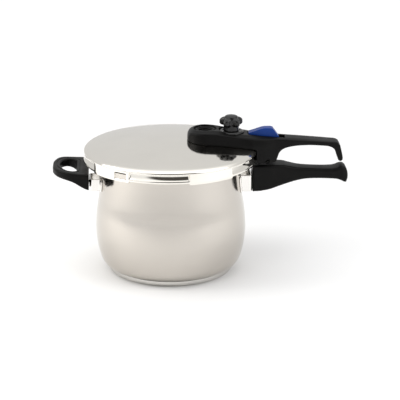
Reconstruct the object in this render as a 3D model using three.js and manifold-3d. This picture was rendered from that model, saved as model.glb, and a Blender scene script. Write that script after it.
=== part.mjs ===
// Stovetop pressure cooker with a bayonet lid.
// Millimetres, +Z up. The origin is the centre of the base's underside, and the long handles point along +X.
import * as THREE from "three";
import { mergeVertices } from "three/addons/utils/BufferGeometryUtils.js";
import Module from "manifold-3d";

const wasm = await Module();
wasm.setup();

// ---------- driving dimensions ----------
const GAP = 0.3; // clearance left between pieces that touch
const ROUND = 50; // facets on the large round pieces
const SMALL_ROUND = 16; // facets on the small round pieces

// pot
const BASE_R = 90.5; // radius of the heat-spreading base
const BASE_H = 7.5; // height of the base capsule
const BASE_SKIN = 1; // steel thickness of the capsule
const POT_WALL = 1.2;
const POT_FLOOR_Z = 7.9; // underside of the pot's own bottom
const NECK_R = 101.8; // outside radius of the neck under the rim
const RIM_TOP_Z = 171.6;
const RIM_THICK = 2.3;
const RIM_R = 109; // plain rim flange between the lugs
const POT_LUG_R = 117.5;
const POT_LUG_ARC = 28; // degrees

// bayonet, shared by pot and lid
const LUG_COUNT = 5;
const LUG_PITCH = 360 / LUG_COUNT;
const LUG_PHASE = -27.75; // degrees, centre of the first lug when the lid is locked
const LID_LUG_ARC = 40.5;

// lid
const LID_R = 126;
const LID_WALL = 1.5;
const LID_BOTTOM_Z = 163.4;
const DOME_Z = 194.5; // top of the dome on the axis
const DOME_SAG = 10.1; // fall of the dome at its edge
const DOME_R = 118; // radius where the dome meets the rounded edge
const LID_LUG_R = 112; // inner radius of the lid's lugs
const LID_LUG_Z = [165.6, 168.6];
const RECESS_R = 121.5; // skirt radius inside a pressed-in lug pocket
const RECESS_Z = [169, 181];
const VENT_ANGLE = -126.2; // degrees, centre of the vent window in the skirt
const VENT_ARC = 9;
const VENT_Z = [167, 177];

// lid handle and what it holds, by distance along +X
const HEAD_X = 51.2;
const HEAD_R = 27.2;
const HANDLE_END_X = 252;
const INDICATOR_X = 50;
const VALVE_X = 88.5;
const SAFETY = [69, 13];
const HANDLE_SCREWS = [[34, 0, 189], [69, -13, 186.1]]; // x, y and underside of the head
const CAVITY_END_X = 108.5;
const SLOT_X = [112.6, 167]; // slider slot in the handle's top
const SLOT_W = 14.8;
const SLOT_FLOOR_Z = 191.4;
const BOLT_X = [136, 144];
const BOLT_W = 8;

// pot handles
const BRACKET_OUT_X = 118.4;
const BRACKET_T = 2;
const SCREW_R = 2.5;
const POT_SCREW_Z = 130;
const HELPER_SCREW_Z = 132.5;

// ---------- helpers ----------
const radians = THREE.MathUtils.degToRad;

// A closed three.js geometry becomes a solid that can be joined and cut.
function solid(geometry) {
  const bare = geometry.index ? geometry.toNonIndexed() : geometry.clone();
  bare.deleteAttribute("normal");
  bare.deleteAttribute("uv");
  const merged = mergeVertices(bare, 1e-4);
  const index = Array.from(merged.index.array);
  const kept = [];
  for (let i = 0; i < index.length; i += 3) {
    const [a, b, c] = index.slice(i, i + 3);
    if (a !== b && b !== c && c !== a) {
      kept.push(a, b, c);
    }
  }
  const mesh = { numProp: 3, vertProperties: new Float32Array(merged.attributes.position.array) };
  const made = new wasm.Manifold(new wasm.Mesh({ ...mesh, triVerts: new Uint32Array(kept) }));
  if (made.volume() > 0) {
    return made;
  }
  for (let i = 0; i < kept.length; i += 3) {
    [kept[i], kept[i + 1]] = [kept[i + 1], kept[i]];
  }
  return new wasm.Manifold(new wasm.Mesh({ ...mesh, triVerts: new Uint32Array(kept) }));
}

// Turns a profile of [radius, height] points about a vertical axis through (x, y).
function revolve(profile, segments = ROUND, x = 0, y = 0) {
  const closed = profile[0][0] > 0 ? [...profile, profile[0]] : profile;
  const points = closed.map(([r, z]) => new THREE.Vector2(r, z));
  const geometry = new THREE.LatheGeometry(points, segments);
  geometry.rotateX(Math.PI / 2);
  geometry.translate(x, y, 0);
  return solid(geometry);
}

function post(r, z0, z1, x = 0, y = 0, segments = SMALL_ROUND) {
  const geometry = new THREE.CylinderGeometry(r, r, z1 - z0, segments);
  geometry.rotateX(Math.PI / 2);
  geometry.translate(x, y, (z0 + z1) / 2);
  return solid(geometry);
}

function block(x0, x1, y0, y1, z0, z1) {
  const geometry = new THREE.BoxGeometry(x1 - x0, y1 - y0, z1 - z0);
  geometry.translate((x0 + x1) / 2, (y0 + y1) / 2, (z0 + z1) / 2);
  return solid(geometry);
}

// A plan outline raised from z0 to z1.
function slab(shape, z0, z1, curveSegments = 10) {
  const geometry = new THREE.ExtrudeGeometry(shape, { depth: z1 - z0, bevelEnabled: false, curveSegments });
  geometry.translate(0, 0, z0);
  return solid(geometry);
}

// A side outline, drawn in X and Z, made `width` thick across Y.
function side(shape, width, curveSegments = 10) {
  const geometry = new THREE.ExtrudeGeometry(shape, { depth: width, bevelEnabled: false, curveSegments });
  geometry.rotateX(Math.PI / 2);
  geometry.translate(0, width / 2, 0);
  return solid(geometry);
}

// Part of a flat ring, centred on an angle in degrees.
function ringSector(r0, r1, z0, z1, centre, arc) {
  const from = radians(centre - arc / 2);
  const to = radians(centre + arc / 2);
  const shape = new THREE.Shape();
  shape.absarc(0, 0, r1, from, to, false);
  shape.absarc(0, 0, r0, to, from, true);
  return slab(shape, z0, z1, 3);
}

function polygon(points) {
  return new THREE.Shape(points.map(([x, y]) => new THREE.Vector2(x, y)));
}

function spline(points, count) {
  const curve = new THREE.SplineCurve(points.map(([x, y]) => new THREE.Vector2(x, y)));
  return curve.getPoints(count).map((point) => [point.x, point.y]);
}

// A plan outline about the X axis: a half-width curve and its mirror image.
function mirrored(edge) {
  return [...edge.map(([x, w]) => [x, -w]), ...edge.map(([x, w]) => [x, w]).reverse()];
}

function coilSpring(x, y, z0, z1, radius, wire, turns) {
  const points = [];
  const steps = turns * 8;
  for (let i = 0; i <= steps; i += 1) {
    const angle = (i / steps) * turns * Math.PI * 2;
    const z = z0 + wire + (i / steps) * (z1 - z0 - 2 * wire);
    points.push(new THREE.Vector3(x + radius * Math.cos(angle), y + radius * Math.sin(angle), z));
  }
  const section = new THREE.Shape();
  section.absarc(0, 0, wire, 0, Math.PI * 2, false);
  const extrudePath = new THREE.CatmullRomCurve3(points);
  return solid(new THREE.ExtrudeGeometry(section, { extrudePath, steps, curveSegments: 2, bevelEnabled: false }));
}

function lugAngles() {
  return Array.from({ length: LUG_COUNT }, (_, i) => LUG_PHASE + i * LUG_PITCH);
}

const finishes = {
  polished: [0xd9d6cf, 0.08, 1],
  brushed: [0xb9b9b7, 0.3, 1],
  brass: [0xb08d4a, 0.35, 1],
  core: [0xc8c9ca, 0.5, 1],
  black: [0x1d1c1b, 0.45, 0],
  blue: [0x1b3f9a, 0.35, 0],
  seal: [0x8d8f92, 0.7, 0],
  red: [0xb3261e, 0.5, 0],
};

const cooker = new THREE.Group();

// Cutting can leave loose specks behind, so only the largest body is the piece.
function largest(shape) {
  return shape.decompose().reduce((best, body) => (body.volume() > best.volume() ? body : best));
}

function add(name, shape, finish) {
  const cut = largest(shape).getMesh();
  const geometry = new THREE.BufferGeometry();
  geometry.setAttribute("position", new THREE.BufferAttribute(new Float32Array(cut.vertProperties), 3));
  geometry.setIndex(Array.from(cut.triVerts));
  geometry.computeVertexNormals();
  const [color, roughness, metalness] = finishes[finish];
  const mesh = new THREE.Mesh(geometry, new THREE.MeshStandardMaterial({ color, roughness, metalness }));
  mesh.name = name;
  cooker.add(mesh);
}

// ---------- pot ----------
const bellyOutline = [
  [92.5, 8.7], [96.5, 10.8], [101.2, 17], [104.4, 26], [107.6, 40], [109.6, 57],
  [109.7, 72], [108.2, 91], [104.6, 114], [102.5, 135], [NECK_R, 150], [NECK_R, 165],
];

function wall(offset, count = 10) {
  return spline(bellyOutline, count).map(([r, z]) => [r + offset, z]);
}

// The space that the pot fills, a little larger, for trimming what is fixed to its wall.
const potEnvelope = revolve([[0, 8], ...wall(GAP), [0, 165]]);

function potBody() {
  const shell = revolve([
    [0, POT_FLOOR_Z], [90.4, POT_FLOOR_Z], ...wall(0),
    [NECK_R + 1.6, RIM_TOP_Z - RIM_THICK], [RIM_R, RIM_TOP_Z - RIM_THICK], [RIM_R, RIM_TOP_Z],
    [NECK_R - 0.4, RIM_TOP_Z], ...wall(-POT_WALL, 7).reverse(),
    [89.5, POT_FLOOR_Z + POT_WALL], [0, POT_FLOOR_Z + POT_WALL],
  ]);
  const inset = 0.2;
  const lugs = lugAngles().map((angle) => ringSector(
    RIM_R - 1.5, POT_LUG_R, RIM_TOP_Z - RIM_THICK + inset, RIM_TOP_Z - inset, angle, POT_LUG_ARC));
  return lugs.reduce((body, lug) => body.add(lug), shell);
}

function baseCap() {
  const inner = BASE_R - BASE_SKIN;
  return revolve([
    [0, 0], [BASE_R - 3, 0], [BASE_R - 0.9, 0.9], [BASE_R, 3], [BASE_R, BASE_H],
    [inner, BASE_H], [inner, 3.2], [inner - 0.8, BASE_SKIN + 0.6], [inner - 2, BASE_SKIN], [0, BASE_SKIN],
  ]);
}

function baseCore() {
  const r = BASE_R - BASE_SKIN - GAP;
  return revolve([
    [0, BASE_SKIN + GAP], [r - 2.4, BASE_SKIN + GAP], [r, 3.6], [r, BASE_H], [0, BASE_H],
  ]);
}

// A steel stand-off, open towards the pot, on the +X side (sign 1) or the -X side (sign -1).
function bracket(sign, halfWidth, z0, z1, screwZ) {
  const outer = block(98, BRACKET_OUT_X, -halfWidth, halfWidth, z0, z1);
  const hollowOut = BRACKET_OUT_X - BRACKET_T;
  const hollow = block(90, hollowOut, -halfWidth + BRACKET_T, halfWidth - BRACKET_T, z0 - 1, z1 + 1);
  const rib = block(98, hollowOut + 0.5, -halfWidth + 0.5, halfWidth - 0.5, z1 - BRACKET_T, z1 - 0.1);
  const piece = outer.subtract(hollow).add(rib).subtract(potEnvelope);
  const drilled = piece.subtract(screwShank(SCREW_R + GAP, hollowOut - 3, BRACKET_OUT_X + 3, screwZ));
  return sign > 0 ? drilled : drilled.rotate([0, 0, 180]);
}

function screwShank(r, x0, x1, z) {
  const geometry = new THREE.CylinderGeometry(r, r, x1 - x0, SMALL_ROUND);
  geometry.rotateZ(Math.PI / 2);
  geometry.translate((x0 + x1) / 2, 0, z);
  return solid(geometry);
}

function handleScrew(sign, z) {
  const headEnd = BRACKET_OUT_X - BRACKET_T - GAP;
  const screw = screwShank(4.5, headEnd - 3.2, headEnd, z).add(screwShank(SCREW_R, headEnd - 1, 131, z));
  return sign > 0 ? screw : screw.rotate([0, 0, 180]);
}

function potHandle() {
  const top = spline([[162, 157.2], [174, 154.6], [190, 151.9], [215, 150.2], [236, 149.8], [244, 151.4]], 10);
  const end = spline([[247, 153], [251, 153.6], [255.5, 151.2], [259, 143.5], [259.6, 136], [257.4, 128.4]], 8);
  const bottom = spline([[254, 128.9], [246, 132.8], [236, 134.2], [204, 134.7], [184, 132.2],
    [159, 125.3], [144.6, 120.5]], 12);
  const profile = polygon([[118.7, 116.8], [118.7, 157.2], ...top, ...end, ...bottom, [130, 117.8]]);
  const edge = [...spline([[118, 17], [150, 17], [172, 14.4], [190, 13], [225, 13], [245, 14.6]], 10),
    [255, 13.4], [261, 9]];
  const body = side(profile, 40).intersect(slab(polygon(mirrored(edge)), 110, 160));
  const boltPocket = block(BOLT_X[0] - 1.2, BOLT_X[1] + 1.2, -BOLT_W / 2 - 1, BOLT_W / 2 + 1, 151, 160);
  return body.subtract(boltPocket).subtract(screwShank(SCREW_R + GAP, 110, 132, POT_SCREW_Z));
}

function helperHandle() {
  const nose = spline([[-150, 42], [-161, 36], [-168, 26], [-171.4, 13], [-172, 4]], 8);
  const edge = [[-118.7, 46], [-130, 45.4], [-140, 43.6], ...nose];
  const hole = polygon(mirrored([[-136, 25], [-139, 29], [-147, 29.5], [-154, 25], [-158.6, 15], [-160, 4]]));
  const profile = polygon([
    [-118.7, 128], [-124, 129.4], [-131, 134.4], [-138, 141], [-146, 145.6], [-158, 148.2], [-172, 149.6],
    [-172.5, 155], [-170.5, 159.6], [-160, 160.2], [-145, 158.2], [-118.7, 156],
  ]);
  const loop = slab(polygon(mirrored(edge)), 120, 165).subtract(slab(hole, 115, 170)).intersect(side(profile, 100));
  return loop.subtract(screwShank(SCREW_R + GAP, 110, 132, HELPER_SCREW_Z).rotate([0, 0, 180]));
}

// ---------- seal ----------
function gasket() {
  const [inner, outer, lip, wallT] = [103, 118.5, 3, 3.5];
  const [z0, z1] = [RIM_TOP_Z + 0.4, 181.5];
  return revolve([
    [inner, z0], [outer, z0], [outer, z1], [inner + 3, z1],
    [inner + 3, z1 - lip], [outer - wallT, z1 - lip], [outer - wallT, z0 + lip], [inner, z0 + lip],
  ]);
}

// ---------- lid ----------
function domeZ(r) {
  return DOME_Z - DOME_SAG * (r / DOME_R) ** 2;
}

function dome(offset, steps = 4) {
  const points = [];
  for (let i = 0; i <= steps; i += 1) {
    const r = (i / steps) * DOME_R;
    points.push([r, domeZ(r) + offset]);
  }
  return points;
}

// The space that the lid fills, a little larger, for trimming the handle that sits on it.
const lidEnvelope = revolve([
  ...dome(0.4), [122.7, 184], [125.3, 182.5], [LID_R + 0.35, 180.2], [LID_R + 0.35, 140], [0, 140],
]);

function lid() {
  const inner = LID_R - LID_WALL;
  let body = revolve([
    ...dome(0), [122.3, 183.6], [124.9, 182.2], [LID_R, 180], [LID_R, LID_BOTTOM_Z],
    [inner, LID_BOTTOM_Z], [inner, 179.6], [123.6, 181], [121.5, 182.1], ...dome(-LID_WALL, 3).reverse(),
  ]);
  const wallArc = 1.5; // degrees of side wall, both sides together, round each pressed-in pocket
  for (const angle of lugAngles()) {
    const pocket = ringSector(RECESS_R - LID_WALL, 124.9, RECESS_Z[0] - 1.2, RECESS_Z[1] + 1,
      angle, LID_LUG_ARC + wallArc);
    const lug = ringSector(LID_LUG_R, 125.6, ...LID_LUG_Z, angle, LID_LUG_ARC);
    const recess = ringSector(RECESS_R, 130, RECESS_Z[0], RECESS_Z[1], angle, LID_LUG_ARC);
    const underLug = ringSector(105, 130, LID_BOTTOM_Z - 3, LID_LUG_Z[0], angle, LID_LUG_ARC + 0.4);
    body = body.subtract(underLug).add(pocket).subtract(recess).add(lug);
  }
  // Through this window the seal bulges out and vents if every valve is blocked.
  body = body.subtract(ringSector(122, 130, ...VENT_Z, VENT_ANGLE, VENT_ARC));
  const holes = [
    post(5.3, 170, 200, INDICATOR_X, 0),
    post(6.3, 170, 200, VALVE_X, 0),
    post(5.3, 170, 200, ...SAFETY),
    ...HANDLE_SCREWS.map(([x, y]) => post(2.4, 170, 200, x, y)),
  ];
  return holes.reduce((piece, hole) => piece.subtract(hole), body);
}

// ---------- lid handle ----------
function headOutline(r, edge) {
  const nose = [];
  const steps = 12;
  for (let i = 1; i < steps; i += 1) {
    const angle = Math.PI / 2 + (i / steps) * Math.PI;
    nose.push([HEAD_X + r * Math.cos(angle), r * Math.sin(angle)]);
  }
  return polygon([...mirrored(edge), ...nose]);
}

const handleTop = [
  [23.5, 203], [25.6, 206.8], [31.5, 210], [42, 211.6], [60, 211.2], [75, 208.8], [90, 206.2],
  [113, 202.8], [130, 200.3], [158, 197.6], [187, 195.1], [231, 190.9], [243, 189.3],
];

function lidHandle() {
  const hook = [[246.4, 187], [251.8, 164.6], [250.6, 161.2], [247.2, 160.3], [244.4, 161.8]];
  const arch = spline([
    [241.2, 169.6], [238.6, 178.4], [231.5, 183.4], [217, 185.4], [199.4, 186.4],
    [180.4, 185.5], [165.8, 182.3], [158.6, 177], [155.6, 169.6], [153.8, 163],
  ], 13);
  const profile = polygon([...spline(handleTop, 18), ...hook, ...arch, [151.5, 161.7], [110, 161.7], [23.5, 185]]);
  const edge = [...spline([
    [HEAD_X, HEAD_R], [80, 25.6], [105, 23.6], [130, 19.6], [160, 15.6], [206, 14.6], [240, 12.8],
  ], 14), [HANDLE_END_X, 10.5]];
  const outside = side(profile, 70).intersect(slab(headOutline(HEAD_R, edge), 150, 220)).subtract(lidEnvelope);

  const roof = polygon([[20, 175], [20, 202.5], [60, 202.5], [90, 198.2], [CAVITY_END_X, 195], [CAVITY_END_X, 175]]);
  const cavityR = HEAD_R - 3.2;
  const cavityEdge = [[HEAD_X, cavityR], [80, 22.2], [CAVITY_END_X, 19.8]];
  const cavity = slab(headOutline(cavityR, cavityEdge), 170, 215).intersect(side(roof, 70));
  const bosses = HANDLE_SCREWS.map(([x, y, z]) => post(4.5, z + 6, 203.5, x, y));
  const cuts = [
    post(16.5, 208.4, 220, INDICATOR_X + 0.5, 0, 30),
    post(9.5, 206.6, 220, INDICATOR_X + 0.5, 0),
    post(5.6, 195, 220, INDICATOR_X, 0),
    post(18.4, 202, 220, VALVE_X, 0, 30),
    post(10.6, 190, 220, VALVE_X, 0),
    block(SLOT_X[0], SLOT_X[1], -SLOT_W / 2, SLOT_W / 2, SLOT_FLOOR_Z, 215),
    block(BOLT_X[0] - 0.5, BOLT_X[1] + 0.5, -BOLT_W / 2 - 0.5, BOLT_W / 2 + 0.5, 155, 195),
    block(136.8, 142.8, -30, 0, 163.2, 167.6),
    ...HANDLE_SCREWS.map(([x, y, z]) => post(2.3, z, z + 15, x, y)),
  ];
  const hollowed = bosses.reduce((piece, boss) => piece.add(boss), outside.subtract(cavity));
  return cuts.reduce((piece, cut) => piece.subtract(cut), hollowed);
}

function lidScrew([x, y, z]) {
  return post(4, z, z + 2.6, x, y).add(post(2, z + 1, z + 14, x, y));
}

// ---------- locking slider and bolt ----------
function lockSlider() {
  const hump = spline([[113.4, 203.6], [122, 206.4], [131, 209.6], [137, 210.9], [147, 210.8]], 8);
  const profile = polygon([[113.4, 192], ...hump, [149.2, 209.7], [157.4, 198.4], [157.4, 192]]);
  return side(profile, 14);
}

function lockBolt() {
  return block(BOLT_X[0], BOLT_X[1], -BOLT_W / 2, BOLT_W / 2, 162, 191);
}

// ---------- working valve and selector knob ----------
function valveSeat() {
  return revolve([
    [2.5, 180.5], [6, 180.5], [6, 190.4], [10, 190.4], [10, 192.4], [6, 192.4], [6, 195.6], [4.6, 197], [2.5, 197],
  ], SMALL_ROUND, VALVE_X);
}

function hexNut(corner, bore, z0, z1, x, y) {
  return post(corner, z0, z1, x, y, 6).subtract(post(bore, z0 - 1, z1 + 1, x, y));
}

// Perforated cup that keeps food out of the steam passage.
function valveFilter() {
  const cup = revolve([
    [0, 173.9], [9, 173.9], [9, 181.3], [6.3, 181.3], [6.3, 180.1], [8, 180.1], [8, 174.9], [0, 174.9],
  ], SMALL_ROUND, VALVE_X);
  const windows = [0, 60, 120].map((angle) => {
    const bar = block(-12, 12, -1.4, 1.4, 176.3, 178.7);
    return bar.rotate([0, 0, angle]).translate([VALVE_X, 0, 0]);
  });
  return windows.reduce((piece, window) => piece.subtract(window), cup);
}

function valvePlunger() {
  return revolve([
    [0, 194.8], [1.4, 196.2], [2, 197.3], [6.6, 197.5], [6.6, 203.4], [2.2, 203.4], [2.2, 211], [0, 211],
  ], SMALL_ROUND, VALVE_X);
}

function knobCollar() {
  return revolve([[10.6, 202.3], [18, 202.3], [18, 205.8], [16.2, 207.2], [10.6, 207.2]], 30, VALVE_X);
}

function selectorKnob() {
  const lobes = new THREE.Shape();
  const lobeCount = 5;
  const steps = 40;
  for (let i = 0; i < steps; i += 1) {
    const angle = (i / steps) * Math.PI * 2;
    const r = 11 + 3.6 * Math.cos(lobeCount * (angle - Math.PI / 2));
    const point = [VALVE_X + r * Math.cos(angle), r * Math.sin(angle)];
    if (i === 0) {
      lobes.moveTo(...point);
    } else {
      lobes.lineTo(...point);
    }
  }
  const bevel = { bevelThickness: 2.8, bevelSize: 2.9, bevelSegments: 2 };
  const star = new THREE.ExtrudeGeometry(lobes, { depth: 7.2, curveSegments: 1, ...bevel });
  star.translate(0, 0, 217.4);
  const core = revolve([
    [0, 204], [10.2, 204], [10.2, 207.6], [11.8, 207.6], [11.1, 211], [10.8, 216], [10.8, 225],
    [9.8, 228.4], [6, 229.7], [0, 230],
  ], 24, VALVE_X);
  return solid(star).add(core).subtract(post(7.6, 200, 217, VALVE_X, 0));
}

// ---------- pressure indicator ----------
function indicatorHousing() {
  return revolve([
    [3.2, 186.5], [5, 186.5], [5, 193.6], [8.5, 193.6], [8.5, 195.4], [5, 195.4], [5, 201.4], [3.2, 201.4],
  ], SMALL_ROUND, INDICATOR_X);
}

function indicatorPin() {
  return revolve([
    [0, 178.6], [5.2, 178.6], [5.2, 180.6], [2.8, 180.6], [2.8, 201.7], [4.6, 201.7], [4.6, 203.6],
    [3.6, 204.6], [0, 204.6],
  ], SMALL_ROUND, INDICATOR_X);
}

function indicatorSeal() {
  return revolve([[3.1, 180.9], [5, 180.9], [5, 182.2], [3.1, 182.2]], SMALL_ROUND, INDICATOR_X);
}

// ---------- safety valve ----------
function safetyBody() {
  return revolve([
    [3.3, 183.6], [5, 183.6], [5, 192], [7.5, 192], [7.5, 193.8], [5, 193.8], [5, 195], [3.3, 195],
  ], SMALL_ROUND, ...SAFETY);
}

function safetyPlunger() {
  return revolve([
    [0, 185.6], [2.9, 185.6], [2.9, 195.3], [4.7, 195.3], [4.7, 196.6], [1.4, 196.6], [1.4, 198.6], [0, 198.6],
  ], SMALL_ROUND, ...SAFETY);
}

// ---------- assembly ----------
add("pot_body", potBody(), "polished");
add("base_core", baseCore(), "core");
add("base_cap", baseCap(), "polished");
add("pot_handle_bracket", bracket(1, 16, 118, 142.5, POT_SCREW_Z), "brushed");
add("pot_handle", potHandle(), "black");
add("pot_handle_screw", handleScrew(1, POT_SCREW_Z), "brushed");
add("helper_bracket", bracket(-1, 16, 122.5, 140, HELPER_SCREW_Z), "brushed");
add("helper_handle", helperHandle(), "black");
add("helper_screw", handleScrew(-1, HELPER_SCREW_Z), "brushed");

add("gasket", gasket(), "seal");

add("lid", lid(), "polished");
add("lid_handle", lidHandle(), "black");
add("handle_screw_front", lidScrew(HANDLE_SCREWS[0]), "brushed");
add("handle_screw_side", lidScrew(HANDLE_SCREWS[1]), "brushed");
add("valve_seat", valveSeat(), "brass");
add("valve_nut", hexNut(11, 6.3, 181.6, 185.5, VALVE_X, 0), "brushed");
add("valve_filter", valveFilter(), "brushed");
add("knob_collar", knobCollar(), "black");
add("indicator_housing", indicatorHousing(), "brushed");
add("indicator_nut", hexNut(9, 5.3, 186.7, 190.1, INDICATOR_X, 0), "brushed");
add("safety_body", safetyBody(), "brass");
add("safety_nut", hexNut(8, 5.3, 184.5, 188.2, ...SAFETY), "brushed");

add("selector_knob", selectorKnob(), "black");
add("valve_plunger", valvePlunger(), "brushed");
add("valve_spring", coilSpring(VALVE_X, 0, 203.8, 216.6, 4.4, 0.5, 6), "brushed");
add("indicator_pin", indicatorPin(), "red");
add("indicator_seal", indicatorSeal(), "seal");
add("safety_plunger", safetyPlunger(), "brushed");
add("safety_spring", coilSpring(...SAFETY, 197, 200.2, 3.3, 0.4, 3), "brushed");
add("lock_slider", lockSlider(), "blue");
add("lock_bolt", lockBolt(), "brushed");

export default cooker;
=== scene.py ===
"""Looks of the stovetop pressure cooker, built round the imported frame.

Shapes are worked out in millimetres in the frame's own axes (+Z up, long handles along +X).
Each mesh is turned into metres as it is made.
"""
import math

import bmesh
import bpy
import numpy as np
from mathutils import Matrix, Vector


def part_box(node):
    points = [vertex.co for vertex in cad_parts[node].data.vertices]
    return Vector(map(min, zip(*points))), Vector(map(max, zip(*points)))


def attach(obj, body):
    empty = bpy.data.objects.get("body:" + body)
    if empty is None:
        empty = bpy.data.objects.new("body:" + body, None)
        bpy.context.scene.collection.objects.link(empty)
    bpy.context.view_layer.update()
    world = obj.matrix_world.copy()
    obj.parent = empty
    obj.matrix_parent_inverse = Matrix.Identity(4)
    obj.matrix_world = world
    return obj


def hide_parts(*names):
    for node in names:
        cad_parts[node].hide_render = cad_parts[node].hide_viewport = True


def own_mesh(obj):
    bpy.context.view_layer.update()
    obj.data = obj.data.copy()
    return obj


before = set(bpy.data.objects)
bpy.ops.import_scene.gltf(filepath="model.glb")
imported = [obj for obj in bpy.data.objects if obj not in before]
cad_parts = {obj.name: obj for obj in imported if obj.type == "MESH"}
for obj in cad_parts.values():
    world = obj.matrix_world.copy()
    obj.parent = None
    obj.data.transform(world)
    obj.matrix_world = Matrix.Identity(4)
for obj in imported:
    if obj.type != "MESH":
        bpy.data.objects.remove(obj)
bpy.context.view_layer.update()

MM = 0.001


def box(node):
    """Lowest and highest corner of a CAD node, in millimetres."""
    low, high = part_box(node)
    return np.array(low) / MM, np.array(high) / MM


def middle(node):
    low, high = box(node)
    return (low + high) / 2


# ---------- driving sizes, from the frame ----------
BASE_HIGH = box("base_cap")[1]
POT_HIGH = box("pot_body")[1]
LID_LOW, LID_HIGH = box("lid")
HANDLE_LOW, HANDLE_HIGH = box("lid_handle")
GRIP_LOW, GRIP_HIGH = box("pot_handle")
HELPER_LOW, HELPER_HIGH = box("helper_handle")
KNOB_LOW, KNOB_HIGH = box("selector_knob")
SLIDER_LOW, SLIDER_HIGH = box("lock_slider")
BOLT_LOW, BOLT_HIGH = box("lock_bolt")
COLLAR_LOW, COLLAR_HIGH = box("knob_collar")
SEAL_LOW, SEAL_HIGH = box("gasket")

BASE_R = BASE_HIGH[1]
BASE_H = BASE_HIGH[2]
RIM_TOP = POT_HIGH[2]
RIM_R = 109.0
POT_LUG_R = 117.3
NECK_R = 101.8
WALL = 1.2
LID_R = LID_HIGH[1]
LID_BOTTOM = LID_LOW[2]
DOME_TOP = LID_HIGH[2]
DOME_R = 118.0
DOME_SAG = 10.1
LID_WALL = 1.5
LID_LUG_R = 112.2
LUG_COUNT = 5
LUG_PHASE = -27.75  # degrees
LUG_ARC = 40.5
POT_LUG_ARC = 28.0
POCKET_R = 121.5
GRIP_SCREW_Z = 130.0
HELPER_SCREW_Z = 132.5
INDICATOR_X = middle("indicator_housing")[0]
VALVE_X = middle("valve_seat")[0]
SAFETY = middle("safety_body")[:2]
HEAD_R = 27.2
HEAD_X = HANDLE_LOW[0] + HEAD_R


# ---------- outlines ----------
def curve(points, count):
    """A Catmull-Rom curve through the points, as `count` points."""
    p = np.array(points, float)
    p = np.vstack([2 * p[0] - p[1], p, 2 * p[-1] - p[-2]])
    spans = len(p) - 3
    out = []
    for s in np.linspace(0, spans, count):
        i = min(int(s), spans - 1)
        t = s - i
        a, b, c, d = p[i : i + 4]
        bend = 2 * a - 5 * b + 4 * c - d
        twist = 3 * b - a - 3 * c + d
        out.append(0.5 * (2 * b + (c - a) * t + bend * t**2 + twist * t**3))
    return [tuple(v) for v in out]


def arc(cx, cy, r, start, stop, count):
    """Points on a circle, angles in degrees."""
    angles = np.radians(np.linspace(start, stop, count))
    return [(cx + r * math.cos(a), cy + r * math.sin(a)) for a in angles]


def filleted(corners, steps=4, guard=0.5):
    """A polyline of (x, y, radius) corners with its corners rounded, and a guard point beside each fillet."""
    out = []
    last = len(corners) - 1
    for i, (x, y, radius) in enumerate(corners):
        here = np.array([x, y], float)
        if i in (0, last) or radius == 0:
            out.append(here)
            continue
        before = np.array(corners[i - 1][:2], float) - here
        after = np.array(corners[i + 1][:2], float) - here
        room = 0.45 * min(np.linalg.norm(before), np.linalg.norm(after))
        before /= np.linalg.norm(before)
        after /= np.linalg.norm(after)
        half = math.acos(float(np.clip(before @ after, -1, 1))) / 2
        reach = min(radius / math.tan(half), room)
        first = here + before * reach
        end = here + after * reach
        if room > reach + 0.1:
            out.append(first + before * min(guard, room - reach))
        for k in range(steps + 1):
            t = k / steps
            out.append((1 - t) ** 2 * first + 2 * t * (1 - t) * here + t**2 * end)
        if room > reach + 0.1:
            out.append(end + after * min(guard, room - reach))
    return [tuple(v) for v in out]


def mirrored(edge):
    """A closed plan outline from its half-width edge [(x, half width)]."""
    return [(x, -w) for x, w in edge] + [(x, w) for x, w in reversed(edge)]


# ---------- distance fields, in millimetres, negative inside ----------
def inside_polygon(px, py, polygon):
    """Signed distance from points to a closed polygon."""
    px, py = np.broadcast_arrays(px, py)
    nearest = np.full(px.shape, np.inf)
    odd = np.zeros(px.shape, bool)
    for (ax, ay), (bx, by) in zip(polygon, polygon[1:] + polygon[:1]):
        ex, ey = bx - ax, by - ay
        length = ex * ex + ey * ey
        if length < 1e-12:
            continue
        wx, wy = px - ax, py - ay
        t = np.clip((wx * ex + wy * ey) / length, 0, 1)
        nearest = np.minimum(nearest, (wx - ex * t) ** 2 + (wy - ey * t) ** 2)
        if ay != by:
            spans = ((ay <= py) & (by > py)) | ((ay > py) & (by <= py))
            odd ^= spans & (px < ex * (py - ay) / ey + ax)
    return np.where(odd, -1.0, 1.0) * np.sqrt(nearest)


def meet(a, b, r):
    """Where a and b both are, with the edge between them rounded to radius r."""
    u = np.maximum(a + r, 0)
    v = np.maximum(b + r, 0)
    return np.minimum(np.maximum(a, b), -r) + np.sqrt(u * u + v * v)


def join(a, b, r):
    """a and b together, with a fillet of radius r."""
    return -meet(-a, -b, r)


def cut(a, b, r=0.5):
    """a without b, with the new edge rounded."""
    return meet(a, -b, r)


def slab(v, low, high):
    return np.maximum(low - v, v - high)


def brick(x, y, z, low, high, r=0.6):
    d = meet(slab(x, low[0], high[0]), slab(y, low[1], high[1]), r)
    return meet(d, slab(z, low[2], high[2]), r)


def drum(x, y, z, cx, cy, radius, z0, z1, r=0.5):
    return meet(np.hypot(x - cx, y - cy) - radius, slab(z, z0, z1), r)


def smooth(t):
    t = np.clip(t, 0, 1)
    return t * t * (3 - 2 * t)


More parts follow.
